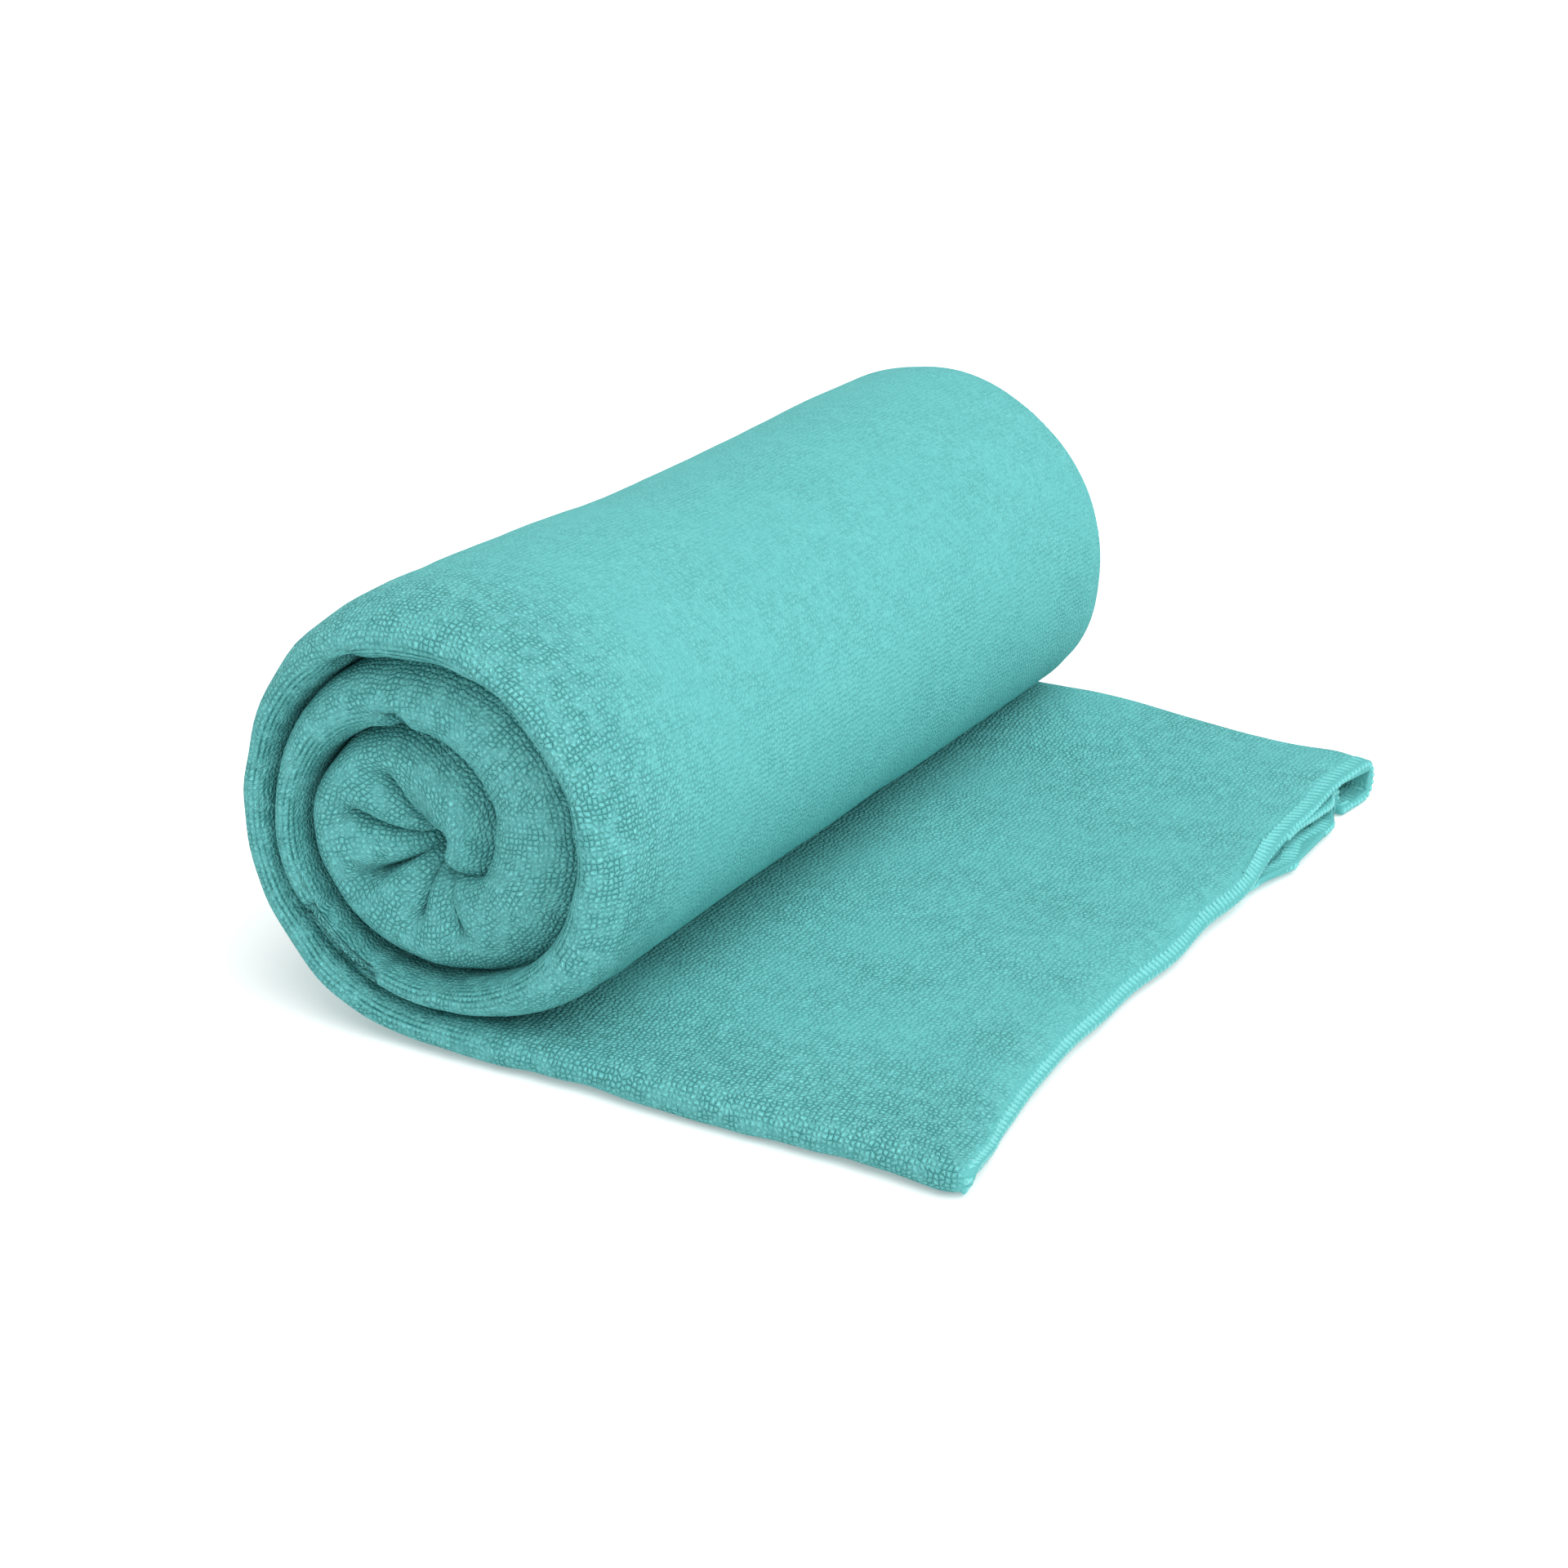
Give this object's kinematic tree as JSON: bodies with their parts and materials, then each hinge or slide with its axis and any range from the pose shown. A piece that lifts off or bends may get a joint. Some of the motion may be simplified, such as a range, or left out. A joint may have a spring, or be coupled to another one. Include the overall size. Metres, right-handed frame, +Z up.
{
  "type": "quick dry towel",
  "caption": "Quick dry terry towel, folded once along its length and rolled up on a flat loose end that lifts along a line beside the roll.",
  "frame": {"origin": "under the middle of the towel's bounding box, on the surface it lies on", "axes": "+X from the roll towards the loose end, +Y along the roll's axis from the folded edge to the hemmed edge, +Z up"},
  "size_m": [0.1728, 0.235, 0.0948],
  "materials": {
    "terry": "matte plush terry with a slight sheen",
    "hem_thread": "soft twisted thread, slight sheen"
  },
  "bodies": {
    "roll": {"outer_turn": "terry", "second_turn": "terry", "third_turn": "terry", "fourth_turn": "terry", "fifth_turn": "terry", "core_fold": "terry", "root_top_ply": "terry", "root_bottom_ply": "terry", "root_near_fold": "terry", "root_far_fold": "terry"},
    "loose_end": {"loose_top_ply": "terry", "loose_bottom_ply": "terry", "loose_near_fold": "terry", "loose_far_fold": "terry", "end_hem_top": "hem_thread", "end_hem_bottom": "hem_thread"}
  },
  "joints": [
    {"name": "loose_end_lift", "type": "hinge", "parent": "roll", "child": "loose_end", "pos_m": [0.0184, 0, 0.0039], "axis": [0, -1, 0], "range_deg": [0, 75]}
  ]
}
